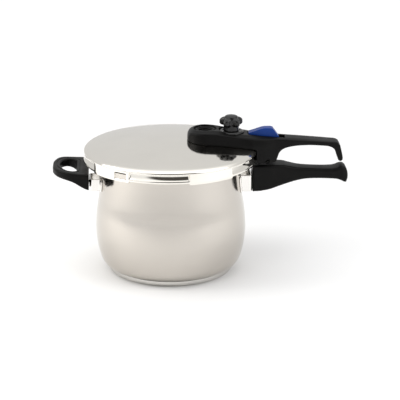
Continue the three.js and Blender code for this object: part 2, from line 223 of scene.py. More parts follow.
def skin(field, low, high, step, rounds=2):
    """Surface nets: a quad mesh on the zero level of field(x, y, z)."""
    axes = [np.arange(low[i] - 2.5 * step, high[i] + 2.5 * step, step) for i in range(3)]
    x, y, z = np.meshgrid(*axes, indexing="ij", sparse=True)
    f = np.broadcast_to(field(x, y, z), [len(a) for a in axes])
    solid = f < 0
    cells = [n - 1 for n in f.shape]
    count = np.zeros(cells)
    total = np.zeros(cells + [3])
    corners = [(i, j, k) for i in (0, 1) for j in (0, 1) for k in (0, 1)]

    def corner(values, c):
        return values[c[0] : c[0] + cells[0], c[1] : c[1] + cells[1], c[2] : c[2] + cells[2]]

    for a in corners:
        for axis in range(3):
            if a[axis]:
                continue
            b = tuple(v + (1 if n == axis else 0) for n, v in enumerate(a))
            fa, fb = corner(f, a), corner(f, b)
            crossed = corner(solid, a) != corner(solid, b)
            t = np.where(crossed, fa / np.where(fa == fb, 1, fa - fb), 0)
            count += crossed
            for n in range(3):
                total[..., n] += np.where(crossed, a[n] + (t if n == axis else 0), 0)
    mixed = count > 0
    index = np.full(cells, -1)
    index[mixed] = np.arange(mixed.sum())
    where = np.argwhere(mixed)
    points = (where + total[mixed] / count[mixed][:, None]) * step + np.array([a[0] for a in axes])

    quads = []
    for axis in range(3):
        others = [n for n in range(3) if n != axis]
        take = [slice(1, -1)] * 3
        take[axis] = slice(0, -1)
        after = list(take)
        after[axis] = slice(1, None)
        a, b = solid[tuple(take)], solid[tuple(after)]
        edge = np.argwhere(a != b)
        outward = a[a != b]
        base = edge.copy()
        for n in others:
            base[:, n] += 1
        ring = []
        for du, dv in ((-1, -1), (0, -1), (0, 0), (-1, 0)):
            at = base.copy()
            at[:, others[0]] += du
            at[:, others[1]] += dv
            ring.append(index[at[:, 0], at[:, 1], at[:, 2]])
        quad = np.stack(ring, 1)
        flip = outward if axis != 1 else ~outward
        quad[~flip] = quad[~flip][:, ::-1]
        quads.append(quad)
    quads = np.concatenate(quads)

    pairs = np.concatenate([quads[:, [i, (i + 1) % 4]] for i in range(4)])
    for _ in range(rounds):
        sums = np.zeros_like(points)
        for n in range(3):
            sums[:, n] = np.bincount(pairs[:, 0], points[pairs[:, 1], n], len(points))
            sums[:, n] += np.bincount(pairs[:, 1], points[pairs[:, 0], n], len(points))
        degree = np.bincount(pairs.ravel(), minlength=len(points))
        points = 0.4 * points + 0.6 * sums / degree[:, None]
        points = onto(field, points, step)
    return points, quads


def onto(field, points, step):
    """Moves points onto the field's zero level."""
    eps = 0.05
    x, y, z = points.T
    f = field(x, y, z)
    slope = np.stack([
        (field(x + eps, y, z) - f) / eps,
        (field(x, y + eps, z) - f) / eps,
        (field(x, y, z + eps) - f) / eps,
    ], 1)
    size = np.maximum((slope**2).sum(1), 0.25)
    move = -slope * (f / size)[:, None]
    reach = np.linalg.norm(move, axis=1)
    move *= np.minimum(1, 0.5 * step / np.maximum(reach, 1e-9))[:, None]
    return points + move


# ---------- making objects ----------
def piece(name, verts, faces, material, body, nodes=()):
    """A mesh object from millimetre vertices, riding on a body and standing for CAD nodes."""
    mesh = bpy.data.meshes.new(name)
    mesh.from_pydata((np.asarray(verts) * MM).tolist(), [], [list(map(int, f)) for f in faces])
    mesh.polygons.foreach_set("use_smooth", [True] * len(mesh.polygons))
    tidy = bmesh.new()
    tidy.from_mesh(mesh)
    bmesh.ops.recalc_face_normals(tidy, faces=tidy.faces)
    tidy.to_mesh(mesh)
    tidy.free()
    mesh.materials.append(material)
    obj = bpy.data.objects.new(name, mesh)
    bpy.context.scene.collection.objects.link(obj)
    if nodes:
        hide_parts(*nodes)
    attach(obj, body)
    return obj


def swept(profile_at, angles, cx=0.0, cy=0.0):
    """Vertices and faces of a profile turned about a vertical axis.

    profile_at(degrees) gives (r, z) points. A profile that starts and ends on the axis closes there; any other
    closes on itself.
    """
    rings = [np.array(profile_at(a), float) for a in angles]
    size = len(rings[0])
    capped = rings[0][0, 0] < 1e-6
    verts, faces = [], []
    for a, ring in zip(np.radians(angles), rings):
        inner = ring[1:-1] if capped else ring
        verts += [(cx + r * math.cos(a), cy + r * math.sin(a), z) for r, z in inner]
    per = size - 2 if capped else size
    turns = len(angles)
    for i in range(turns):
        j = (i + 1) % turns
        for k in range(per - 1 if capped else per):
            m = (k + 1) % per
            faces.append((i * per + k, j * per + k, j * per + m, i * per + m))
    if capped:
        for end, row in ((0, 0), (-1, per - 1)):
            pole = len(verts)
            verts.append((cx, cy, rings[0][end, 1]))
            for i in range(turns):
                j = (i + 1) % turns
                ring = (pole, j * per + row, i * per + row)
                faces.append(ring if end == 0 else ring[::-1])
    return verts, faces


def turned(name, profile, material, body, nodes=(), centre=(0.0, 0.0), steps=64):
    angles = np.linspace(0, 360, steps, endpoint=False)
    verts, faces = swept(lambda _: profile, angles, *centre)
    return piece(name, verts, faces, material, body, nodes)


def carved(name, field, low, high, step, material, body, nodes=()):
    points, quads = skin(field, low, high, step)
    return piece(name, points, quads, material, body, nodes)


# ---------- materials ----------
def fresh_material(name, color, metallic, roughness):
    """A node material and its shader."""
    material = bpy.data.materials.new(name)
    material.use_nodes = True
    shader = material.node_tree.nodes["Principled BSDF"]
    shader.inputs["Base Color"].default_value = (*color, 1)
    shader.inputs["Metallic"].default_value = metallic
    shader.inputs["Roughness"].default_value = roughness
    return material, shader


def node(material, kind, **values):
    made = material.node_tree.nodes.new(kind)
    for key, value in values.items():
        setattr(made, key, value)
    return made


def link(material, out, into):
    material.node_tree.links.new(out, into)


def noise(material, vector, scale, detail=3.0, rough=0.5):
    made = node(material, "ShaderNodeTexNoise")
    made.inputs["Scale"].default_value = scale
    made.inputs["Detail"].default_value = detail
    made.inputs["Roughness"].default_value = rough
    link(material, vector, made.inputs["Vector"])
    return made.outputs["Fac"]


def spread(material, fac, low, high):
    """Stretches a 0..1 noise over low..high."""
    made = node(material, "ShaderNodeMapRange")
    made.inputs["From Min"].default_value = 0.3
    made.inputs["From Max"].default_value = 0.7
    made.inputs["To Min"].default_value = low
    made.inputs["To Max"].default_value = high
    link(material, fac, made.inputs["Value"])
    return made.outputs["Result"]


def tint(material, fac, first, second):
    made = node(material, "ShaderNodeMix", data_type="RGBA")
    made.inputs["A"].default_value = (*first, 1)
    made.inputs["B"].default_value = (*second, 1)
    link(material, fac, made.inputs["Factor"])
    return made.outputs["Result"]


def bump(material, shader, height, distance, strength=1.0):
    made = node(material, "ShaderNodeBump")
    made.inputs["Distance"].default_value = distance
    made.inputs["Strength"].default_value = strength
    link(material, height, made.inputs["Height"])
    link(material, made.outputs["Normal"], shader.inputs["Normal"])


def place(material):
    return node(material, "ShaderNodeTexCoord").outputs["Object"]


def round_the_axis(material, centre=(0.0, 0.0)):
    """Coordinates that change with radius and height but hardly round the axis, for turned metal."""
    parts = node(material, "ShaderNodeSeparateXYZ")
    shift = node(material, "ShaderNodeVectorMath", operation="SUBTRACT")
    shift.inputs[1].default_value = (centre[0] * MM, centre[1] * MM, 0)
    link(material, place(material), shift.inputs[0])
    link(material, shift.outputs[0], parts.inputs[0])
    flat = node(material, "ShaderNodeCombineXYZ")
    link(material, parts.outputs["X"], flat.inputs["X"])
    link(material, parts.outputs["Y"], flat.inputs["Y"])
    length = node(material, "ShaderNodeVectorMath", operation="LENGTH")
    link(material, flat.outputs[0], length.inputs[0])
    drift = node(material, "ShaderNodeMath", operation="MULTIPLY")
    drift.inputs[1].default_value = 0.02
    link(material, parts.outputs["X"], drift.inputs[0])
    ring = node(material, "ShaderNodeCombineXYZ")
    link(material, length.outputs["Value"], ring.inputs["X"])
    link(material, parts.outputs["Z"], ring.inputs["Y"])
    link(material, drift.outputs[0], ring.inputs["Z"])
    return ring.outputs[0]


def polished_steel(name, color, low, high, line_depth, centre=(0.0, 0.0), line_scale=900.0):
    """Bright steel with polishing lines round the axis, faint clouding and a few hairline rubs."""
    material, shader = fresh_material(name, color, 1.0, (low + high) / 2)
    rings = noise(material, round_the_axis(material, centre), line_scale, 4.0, 0.6)
    clouds = noise(material, place(material), 22.0, 4.0)
    mixed = node(material, "ShaderNodeMath", operation="ADD")
    half = node(material, "ShaderNodeMath", operation="MULTIPLY")
    half.inputs[1].default_value = 0.5
    link(material, rings, mixed.inputs[0])
    link(material, clouds, mixed.inputs[1])
    link(material, mixed.outputs[0], half.inputs[0])
    link(material, spread(material, half.outputs[0], low, high), shader.inputs["Roughness"])
    paler = tuple(min(1.0, c * 1.035) for c in color)
    cloudy = tint(material, spread(material, clouds, 0.0, 1.0), color, paler)
    link(material, cloudy, shader.inputs["Base Color"])
    bump(material, shader, rings, line_depth * MM)
    return material


def moulded_plastic(name, color, highlight, low, high, gloss=0.1, grain=0.012, grain_scale=1500.0):
    """Satin moulded plastic: fine grain, slightly uneven gloss, a paler bloom where hands rub it."""
    material, shader = fresh_material(name, color, 0.0, (low + high) / 2)
    shader.inputs["Specular IOR Level"].default_value = gloss
    where = place(material)
    fine = noise(material, where, grain_scale, 2.0)
    broad = noise(material, where, 38.0, 3.0)
    link(material, spread(material, broad, low, high), shader.inputs["Roughness"])
    rubbed = tint(material, spread(material, broad, 0.0, 1.0), color, highlight)
    link(material, rubbed, shader.inputs["Base Color"])
    bump(material, shader, fine, grain * MM)
    return material


def matt_rubber(name, color):
    material, shader = fresh_material(name, color, 0.0, 0.75)
    where = place(material)
    broad = noise(material, where, 60.0, 4.0)
    fine = noise(material, where, 2500.0, 2.0)
    darker = tuple(c * 0.8 for c in color)
    link(material, tint(material, spread(material, broad, 0, 1), color, darker), shader.inputs["Base Color"])
    link(material, spread(material, broad, 0.62, 0.85), shader.inputs["Roughness"])
    bump(material, shader, fine, 0.02 * MM)
    return material


LID_STEEL = (0.85, 0.82, 0.76)
BODY_STEEL = (0.57, 0.536, 0.492)
body_steel = polished_steel("body_steel", BODY_STEEL, 0.12, 0.21, 0.0005)
lid_steel = polished_steel("lid_steel", LID_STEEL, 0.05, 0.12, 0.0003)
base_steel = polished_steel("base_steel", (0.66, 0.645, 0.62), 0.16, 0.28, 0.002, line_scale=1600.0)
small_steel = polished_steel("small_steel", (0.74, 0.73, 0.71), 0.16, 0.30, 0.002, (VALVE_X, 0))
bracket_steel = polished_steel("bracket_steel", (0.84, 0.82, 0.79), 0.10, 0.22, 0.001)
core_metal = polished_steel("core_metal", (0.70, 0.71, 0.72), 0.35, 0.50, 0.004)
brass = polished_steel("brass", (0.72, 0.54, 0.26), 0.18, 0.32, 0.002, (VALVE_X, 0))
black = moulded_plastic("black_plastic", (0.0040, 0.0038, 0.0037), (0.0062, 0.0060, 0.0058), 0.34, 0.46)
knob_black = moulded_plastic("knob_plastic", (0.004,) * 3, (0.0065,) * 3, 0.18, 0.28, 0.45)
blue = moulded_plastic("blue_plastic", (0.003, 0.033, 0.20), (0.004, 0.040, 0.24), 0.26, 0.38, 0.2)
red = moulded_plastic("indicator_plastic", (0.42, 0.020, 0.014), (0.50, 0.028, 0.018), 0.28, 0.40, 0.4)
seal = matt_rubber("seal_rubber", (0.035, 0.035, 0.036))


# ---------- pot ----------
belly = curve([
    (92.5, 8.7), (96.5, 10.8), (101.2, 17), (104.4, 26), (107.6, 40), (109.6, 57),
    (109.7, 72), (108.2, 91), (104.6, 114), (102.5, 135), (NECK_R, 150), (NECK_R, 164),
], 72)


def fine_angles(edges, coarse=2.0, fine=0.25, reach=1.6):
    """Angles round the axis, closer together near each edge angle."""
    marks = set(np.round(np.arange(0, 360, coarse), 3))
    for edge in edges:
        marks |= set(np.round((edge + np.arange(-reach, reach + fine / 2, fine)) % 360, 3))
    marks = sorted(marks)
    kept = [marks[0]]
    for mark in marks[1:]:
        if mark - kept[-1] > 0.12:
            kept.append(mark)
    return np.array(kept)


def sector(angle, centre, arc_width, soft):
    """1 inside the sector, 0 outside, with soft sides, for an angle in degrees."""
    off = abs((angle - centre + 180) % 360 - 180)
    return float(smooth((arc_width / 2 + soft / 2 - off) / soft))


def lug_weight(angle, arc_width, soft):
    return max(sector(angle, LUG_PHASE + i * 360 / LUG_COUNT, arc_width, soft) for i in range(LUG_COUNT))


def lug_edges(arc_width):
    centres = [LUG_PHASE + i * 360 / LUG_COUNT for i in range(LUG_COUNT)]
    return [c + s * arc_width / 2 for c in centres for s in (-1, 1)]


def pot_profile(angle):
    reach = RIM_R + (POT_LUG_R - RIM_R) * lug_weight(angle, POT_LUG_ARC, 0.8)
    outer = [(0, 7.9), (60, 7.9), (89.6, 7.9), (91, 8.1)] + belly
    rim = filleted([
        (NECK_R, 164, 0), (NECK_R + 0.2, 169.3, 2.0), (reach, 169.3, 0.8), (reach, RIM_TOP, 0.8),
        (NECK_R - WALL, RIM_TOP, 2.2), (NECK_R - WALL, 162, 0),
    ])[1:-1]
    inner = [(r - WALL, z) for r, z in reversed(belly[6:])]
    return outer + rim + inner + [(96.6, 13.2), (93.0, 10.6), (89.5, 9.2), (60, 9.1), (0, 9.1)]


pot_verts, pot_faces = swept(pot_profile, fine_angles(lug_edges(POT_LUG_ARC)))
piece("pot_shell", pot_verts, pot_faces, body_steel, "pot", ["pot_body"])

turned("base_capsule", filleted([
    (0, 0, 0), (BASE_R * 0.5, 0, 0), (BASE_R - 1.2, 0, 1.2), (BASE_R, 2.4, 1.6), (BASE_R, BASE_H, 0.4),
    (BASE_R - 1.1, BASE_H, 0.3), (BASE_R - 1.1, 2.8, 1), (BASE_R - 3, 1.0, 1), (0, 1.0, 0),
]), base_steel, "pot", ["base_cap"], steps=200)

core_low, core_high = box("base_core")
turned("base_core_disc", filleted([
    (0, core_low[2], 0), (core_high[1] - 2.4, core_low[2], 0.4), (core_high[1] - 0.2, 3.7, 0.6),
    (core_high[1] - 0.2, core_high[2] - 0.1, 0.5), (0, core_high[2] - 0.1, 0),
]), core_metal, "pot", ["base_core"], steps=128)


# ---------- brackets and pot-side handles ----------
wall_outline = [(0, 0)] + [(r + 0.15, z) for r, z in belly] + [(NECK_R + 0.15, 200), (0, 200)]
wall_back = [(0, 0)] + [(r + 1.7, z) for r, z in belly] + [(NECK_R + 1.7, 200), (0, 200)]


def bracket_field(sign, half, z0, z1, screw_z):
    """A pressed steel hat: two wings hug the wall, and a channel stands out to the handle."""
    end = 118.4

    def field(x, y, z):
        x = x * sign
        y = np.abs(y)
        r = np.hypot(x, y)
        to_wall = inside_polygon(r, z, wall_outline)
        to_back = inside_polygon(r, z, wall_back)
        wings = meet(meet(-to_wall, to_back, 0.5), np.maximum(slab(y, -1, half + 9), 60 - x), 0.7)
        wings = meet(wings, slab(z, z0 + 1, z1 - 1), 0.7)
        outer = meet(slab(x, 90, end), y - half, 3.5)
        inner = meet(x - (end - 2), y - (half - 2), 2.0)
        channel = meet(cut(outer, inner, 0.5), slab(z, z0, z1), 0.7)
        channel = meet(channel, -to_wall, 0.5)
        whole = join(channel, wings, 1.2)
        hole = np.maximum(np.hypot(y, z - screw_z) - 2.9, 110 - x)
        return cut(whole, hole, 0.4)

    return field


bracket_low, bracket_high = box("pot_handle_bracket")
carved("handle_bracket", bracket_field(1, 16, bracket_low[2], bracket_high[2], GRIP_SCREW_Z),
       (94, -26, bracket_low[2]), (119, 26, bracket_high[2]), 0.62, bracket_steel, "pot",
       ["pot_handle_bracket"])
bracket_low, bracket_high = box("helper_bracket")
carved("helper_bracket_plate", bracket_field(-1, 16, bracket_low[2], bracket_high[2], HELPER_SCREW_Z),
       (-119, -26, bracket_low[2]), (-94, 26, bracket_high[2]), 0.62, bracket_steel, "pot",
       ["helper_bracket"])

grip_side = (
    [(118.7, 117.4), (118.7, 157.1), (162, 157.1)]
    + curve([(166, 156.9), (176, 154.6), (190, 151.9), (215, 150.2), (234, 149.9), (242, 151.0)], 18)
    + curve([(246, 152.9), (251, 153.6), (255.5, 151.4), (258.9, 144), (259.6, 136), (257.2, 128.4)], 18)
    + curve([(254, 128.9), (246, 132.8), (236, 134.2), (204, 134.7), (184, 132.2), (159, 125.3), (144.6, 120.5),
             (130, 117.8)], 26)
)
grip_plan = mirrored(curve([(117, 17), (150, 17), (172, 14.6), (192, 12.8), (222, 12.8), (246, 14.4), (256, 13.2),
                            (261, 10)], 30))


def grip_field(x, y, z):
    sink = 1.3 * (y / 15) ** 2 * smooth((z - 138) / 10) * smooth((x - 150) / 30)
    body = meet(inside_polygon(x, z + sink, grip_side), inside_polygon(x, y, grip_plan), 3.6)
    body = meet(body, 118.8 - x, 0.7)
    pocket = brick(x, y, z, (BOLT_LOW[0] - 1.2, -5, 151), (BOLT_HIGH[0] + 1.2, 5, 170))
    body = cut(body, pocket, 0.5)
    bore = np.maximum(np.hypot(y, z - GRIP_SCREW_Z) - 2.8, x - 132)
    return cut(body, bore, 0.3)


carved("pot_grip", grip_field, GRIP_LOW, GRIP_HIGH, 0.95, black, "pot", ["pot_handle"])

helper_plan = mirrored(
    [(-117.5, 45.8), (-124, 45.6)]
    + curve([(-130, 45.2), (-140, 43.7), (-150, 41.4), (-159, 36.4), (-166.4, 27.6), (-170.8, 14), (-172, 0.01)], 28)
)
helper_hole = mirrored(curve([(-136.5, 0.01), (-136.5, 22), (-139, 27.4), (-145, 29), (-151, 26.5), (-156.6, 18),
                              (-159.6, 8), (-160.2, 0.01)], 28))
helper_side = (
    [(-118.7, 128.1), (-121, 128.5)]
    + curve([(-124, 129.6), (-131, 134.5), (-138, 140.8), (-146, 145.4), (-158, 148.1), (-167, 149.3)], 18)
    + [(-172, 149.8), (-172.4, 155)]
    + curve([(-170.6, 159.5), (-160, 160.1), (-145, 158.1), (-118.7, 155.9)], 12)
)


def helper_field(x, y, z):
    loop = inside_polygon(x, y, helper_plan)
    hole = inside_polygon(x, y, helper_hole)
    rise = 4.5 * smooth((np.abs(y) - 18) / 24) * smooth((147 - z) / 14)
    sides = inside_polygon(x, z - rise, helper_side)
    body = meet(sides, loop, 3.0)
    body = cut(body, hole, 2.4)
    groove = np.maximum(np.abs(hole - 5.2) - 0.55, 154.5 - z)
    body = cut(body, np.maximum(groove, -(sides + 0.9)), 0.25)
    body = meet(body, x + 118.8, 0.7)
    bore = np.maximum(np.hypot(y, z - HELPER_SCREW_Z) - 2.8, -131 - x)
    return cut(body, bore, 0.3)


carved("helper_loop", helper_field, HELPER_LOW, HELPER_HIGH, 0.8, black, "pot",
       ["helper_handle"])


# ---------- seal ----------
turned("seal_ring", filleted([
    (SEAL_HIGH[1] - 6, SEAL_LOW[2], 0), (118.3, SEAL_LOW[2], 0.8), (118.3, SEAL_HIGH[2], 1.2),
    (106.2, SEAL_HIGH[2], 0.8), (106.2, 178.6, 0.8), (115, 178.6, 1.2), (115, 175, 1.2), (103.2, 175, 0.8),
    (103.2, SEAL_LOW[2], 0.8), (SEAL_HIGH[1] - 7, SEAL_LOW[2], 0),
]), seal, "seal", ["gasket"], steps=200)


# ---------- lid ----------
def dome(r):
    return DOME_TOP - DOME_SAG * (r / DOME_R) ** 2


def lid_profile(angle):
    """Outer face down to the skirt's edge, round it, and back up inside. Lug pockets push the skirt in."""
    pocket = lug_weight(angle, LUG_ARC - 0.8, 1.0)
    lug = lug_weight(angle, LUG_ARC - 0.4, 0.8)
    press = (LID_R - POCKET_R) * pocket
    bottom = LID_BOTTOM + (165.7 - LID_BOTTOM) * lug
    lip_top = bottom + 1.0 + 1.9 * lug
    inner_reach = LID_R - LID_WALL - (LID_R - LID_WALL - LID_LUG_R) * lug
    outer = [(0, DOME_TOP)] + [(r, dome(r)) for r in (25, 50, 75, 95, 108, DOME_R)]
    shoulder = [(DOME_R, dome(DOME_R)), (121.4, 183.5), (123.9, 182.4), (LID_R - 0.5, 180.9), (LID_R, 179.2)]
    edge = curve(shoulder, 11)[1:-1]
    skirt = [
        (LID_R, 179.1), (LID_R - 0.25 * press, 178.9), (LID_R - 0.85 * press, 178.6), (LID_R - press, 178.1),
        (LID_R - press, 177.2), (LID_R - 0.94 * press, 175.6), (LID_R - 0.82 * press, 174.0),
        (LID_R - 0.65 * press, 172.4), (LID_R - 0.44 * press, 170.9), (LID_R - 0.20 * press, 169.6),
        (LID_R - 0.07 * press, 168.9), (LID_R - 0.01 * press, 168.2), (LID_R, 167.4),
        (LID_R, bottom + 0.5), (LID_R - 0.2, bottom + 0.12), (LID_R - 0.6, bottom),
    ]
    under = [
        (inner_reach + 0.5, bottom), (inner_reach + 0.1, bottom + 0.15), (inner_reach, bottom + 0.5),
        (inner_reach, lip_top - 0.5), (inner_reach + 0.15, lip_top - 0.1), (inner_reach + 0.5, lip_top),
    ]
    wall_in = LID_R - LID_WALL - press
    back = [
        (wall_in - 0.4 * lug, lip_top + 0.05), (wall_in, lip_top + 0.5), (wall_in, 171.5), (wall_in, 177.0),
        (wall_in + 0.3 * press, 178.9), (124.5 - 0.45 * press, 179.8), (123.6 - 0.3 * press, 181.0), (121.2, 182.0),
        (DOME_R - 1, dome(DOME_R - 1) - LID_WALL),
    ]
    inside = [(r, dome(r) - LID_WALL) for r in (105, 80, 40)] + [(0, DOME_TOP - LID_WALL)]
    return outer + edge + skirt + under + back + inside


WINDOW_CENTRE = -126.2
WINDOW_ARC = 9.0
lid_verts, lid_faces = swept(lid_profile, fine_angles(lug_edges(LUG_ARC - 0.8) + lug_edges(LUG_ARC - 0.4)))
lid = piece("lid_shell", lid_verts, lid_faces, lid_steel, "lid", ["lid"])


def cutter(verts, faces):
    mesh = bpy.data.meshes.new("cutter")
    mesh.from_pydata((np.asarray(verts) * MM).tolist(), [], faces)
    tidy = bmesh.new()
    tidy.from_mesh(mesh)
    bmesh.ops.recalc_face_normals(tidy, faces=tidy.faces)
    tidy.to_mesh(mesh)
    tidy.free()
    obj = bpy.data.objects.new("cutter", mesh)
    bpy.context.scene.collection.objects.link(obj)
    return obj


def pierce(target, verts, faces):
    """Cuts a closed shape out of a piece and leaves no modifier behind."""
    tool = cutter(verts, faces)
    modifier = target.modifiers.new("pierce", "BOOLEAN")
    modifier.object = tool
    modifier.operation = "DIFFERENCE"
    modifier.solver = "EXACT"
    bpy.context.view_layer.update()
    graph = bpy.context.evaluated_depsgraph_get()
    result = bpy.data.meshes.new_from_object(target.evaluated_get(graph))
    target.modifiers.remove(modifier)
    target.data = result
    bpy.data.objects.remove(tool)


def window_shape():
    """A rounded plug through the skirt, wider than its wall."""
    outline = filleted([
        (-1, 167.2, 0), (-0.5, 167.2, 0), (0.5, 167.2, 0.9), (0.5, 176.8, 0.9), (-0.5, 176.8, 0.9),
        (-0.5, 167.2, 0.9),
    ], guard=0)[2:]
    outline = [(WINDOW_ARC * s, z) for s, z in outline]
    verts, faces = [], []
    for r in (122.0, 129.0):
        for s, z in outline:
            way = math.radians(WINDOW_CENTRE + s)
            verts.append((r * math.cos(way), r * math.sin(way), z))
    n = len(outline)
    faces += [(i, (i + 1) % n, n + (i + 1) % n, n + i) for i in range(n)]
    faces += [list(range(n))[::-1], list(range(n, 2 * n))]
    return verts, faces


def drill_shape(x, y, r, z0=150.0, z1=210.0, steps=48):
    turns = np.linspace(0, 2 * math.pi, steps, endpoint=False)
    ring = [(x + r * math.cos(a), y + r * math.sin(a)) for a in turns]
    verts = [(px, py, z) for z in (z0, z1) for px, py in ring]
    faces = [(i, (i + 1) % steps, steps + (i + 1) % steps, steps + i) for i in range(steps)]
    faces += [list(range(steps))[::-1], list(range(steps, 2 * steps))]
    return verts, faces


pierce(lid, *window_shape())
screw_front = middle("handle_screw_front")[:2]
screw_side = middle("handle_screw_side")[:2]
for hole_x, hole_y, hole_r in ((INDICATOR_X, 0, 5.3), (VALVE_X, 0, 6.3), (*SAFETY, 5.3), (*screw_front, 2.4),
                               (*screw_side, 2.4)):
    pierce(lid, *drill_shape(hole_x, hole_y, hole_r))


# ---------- lid handle ----------
handle_top = curve([
    (23.8, 200), (24.6, 205.2), (27.6, 208.7), (33.4, 210.7), (44, 211.6), (60, 211.2), (75, 208.8), (90, 206.2),
    (113, 202.8), (130, 200.3), (158, 197.6), (187, 195.1), (231, 190.9), (240, 190.0), (244.6, 188.2),
], 60)
handle_hook = curve([
    (247.0, 184.5), (249.4, 175), (251.5, 165.5), (250.8, 161.6), (247.6, 160.4), (244.6, 162.0),
], 16)
handle_arch = curve([
    (243.4, 166), (241.4, 172), (238.4, 178.6), (231.5, 183.2), (217, 185.2), (199.4, 186.2), (180.4, 185.3),
    (165.8, 182.1), (158.6, 176.8), (155.6, 169.6), (153.6, 163.6),
], 36)
handle_side = handle_top + handle_hook + handle_arch + [(151.6, 161.8), (110, 161.8), (23.8, 184)]
handle_plan = (
    mirrored([(HEAD_X, HEAD_R)] + curve([(66, 25.9), (84, 25.2), (105, 23.4), (130, 19.4), (160, 15.6), (206, 14.4),
                                         (238, 13.0), (249, 11.4), (253, 9)], 30))
    + arc(HEAD_X, 0, HEAD_R, 90, 270, 28)[1:-1]
)
cavity_plan = mirrored([(HEAD_X, 24.0), (80, 22.2), (108.5, 19.8)]) + arc(HEAD_X, 0, 24.0, 90, 270, 24)[1:-1]
lid_space = (
    [(0, 100), (LID_R + 0.35, 100), (LID_R + 0.35, 180.4), (LID_R - 0.6, 182.8), (122.4, 184.1)]
    + [(r, dome(r) + 0.35) for r in (DOME_R, 90, 60, 30)]
    + [(0, DOME_TOP + 0.35)]
)


def handle_field(x, y, z):
    level = inside_polygon(x, y, handle_plan)
    crown = np.interp(x, [30, 60, 110, 160, 250], [2.6, 2.8, 2.4, 1.2, 0.8])
    reach = np.interp(x, [60, 160, 250], [12, 9, 8])
    drop = crown * (1 - smooth(-level / reach)) * smooth((z - 184) / 14)
    flare = smooth((204 - z) / 18) * np.interp(x, [40, 80, 118, 135, 152], [0.6, 1.5, 4.5, 3.5, 0])
    tall = inside_polygon(x, z + drop, handle_side)
    plan = inside_polygon(x, np.sign(y) * np.maximum(np.abs(y) - flare, 0), handle_plan)
    body = meet(tall, plan, 2.4)
    body = cut(body, inside_polygon(np.hypot(x, y), z, lid_space), 0.5)
    roof = z - np.interp(x, [20, 60, 90, 108.5], [202.5, 202.5, 198.2, 195])
    body = cut(body, np.maximum(inside_polygon(x, y, cavity_plan), roof), 0.4)
    for boss_x, boss_y in (screw_front, screw_side):
        body = join(body, drum(x, y, z, boss_x, boss_y, 4.5, 190.9, 204), 0.4)
        body = cut(body, drum(x, y, z, boss_x, boss_y, 2.3, 150, 199.5), 0.3)
    rim_x = INDICATOR_X + 0.5
    from_rim = np.hypot(x - rim_x, y)
    body = cut(body, drum(x, y, z, rim_x, 0, 16.6, 208.2, 240), 0.7)
    tick = 0.5 * smooth(np.cos(6 * np.arctan2(y, x - rim_x)) * 6)
    ring = meet(np.abs(from_rim - 12.6) - 1.5, slab(z, 200, 209.4 + tick), 0.6)
    body = join(body, ring, 0.5)
    body = cut(body, drum(x, y, z, rim_x, 0, 9.4, 205.6, 240), 0.8)
    body = cut(body, drum(x, y, z, INDICATOR_X, 0, 5.6, 190, 240), 0.5)
    body = cut(body, drum(x, y, z, VALVE_X, 0, 18.5, 202, 240), 0.5)
    body = cut(body, drum(x, y, z, VALVE_X, 0, 10.6, 190, 240), 0.4)
    slot_low = (SLIDER_LOW[0] - 0.8, -7.6, SLIDER_LOW[2] - 0.6)
    body = cut(body, brick(x, y, z, slot_low, (SLIDER_HIGH[0] + 9.2, 7.6, 240), 0.8), 0.7)
    body = cut(body, brick(x, y, z, (BOLT_LOW[0] - 0.5, -4.5, 150), (BOLT_HIGH[0] + 0.5, 4.5, 195), 0.5), 0.4)
    return cut(body, brick(x, y, z, (136.9, -40, 163.3), (142.7, 0, 167.5), 0.8), 0.6)


carved("lid_grip", handle_field, HANDLE_LOW - [0, 3, 0], HANDLE_HIGH + [0, 3, 0], 0.9, black, "lid",
       ["lid_handle"])

turned("selector_collar", filleted([
    (12, COLLAR_LOW[2], 0), (17.9, COLLAR_LOW[2], 0.3), (17.9, 205.5, 0.9), (16.0, COLLAR_HIGH[2], 0.8),
    (13.2, COLLAR_HIGH[2], 0.3), (13.2, 206.3, 0.3), (10.7, 206.3, 0.3), (10.7, COLLAR_LOW[2], 0.3),
    (11.5, COLLAR_LOW[2], 0),
]), knob_black, "lid", ["knob_collar"], (VALVE_X, 0), 96)


# ---------- selector knob ----------
def lobe_radius(angle, mean, swing):
    return mean + swing * np.cos(5 * (angle - math.pi / 2))


def knob_field(x, y, z):
    dx = x - VALVE_X
    r = np.hypot(dx, y)
    angle = np.arctan2(y, dx)
    lobes = (r - lobe_radius(angle, 13.85, 3.6)) * 0.8
    star = meet(lobes, slab(z, 214.8, 227.8 - 0.012 * r**2), 3.4)
    core_line = [(0, 204.2), (9.9, 204.2), (9.9, 207.5), (11.6, 207.7), (11.0, 211), (10.6, 216), (10.6, 224),
                 (0, 224)]
    core = inside_polygon(r, z, core_line) - 0.1
    cap = np.sqrt(r**2 + (z - 202.6) ** 2) - 27.4
    cap = meet(cap, r - 10.2, 2.5)
    cap = np.maximum(cap, 218 - z)
    body = join(join(star, core, 1.5), cap, 0.8)
    return cut(body, drum(x, y, z, VALVE_X, 0, 7.6, 190, 217), 0.3)


carved("selector_knob_lobed", knob_field, KNOB_LOW, KNOB_HIGH, 0.55, knob_black, "knob",
       ["selector_knob"])


# ---------- locking slider and bolt ----------
slider_side = (
    [(SLIDER_LOW[0], SLIDER_LOW[2]), (SLIDER_LOW[0], 203.6)]
    + curve([(114.6, 204.6), (122, 206.6), (131, 209.6), (137, 210.8), (146, 210.8)], 16)
    + [(149.0, 209.9), (SLIDER_HIGH[0], 198.6), (SLIDER_HIGH[0], SLIDER_LOW[2])]
)


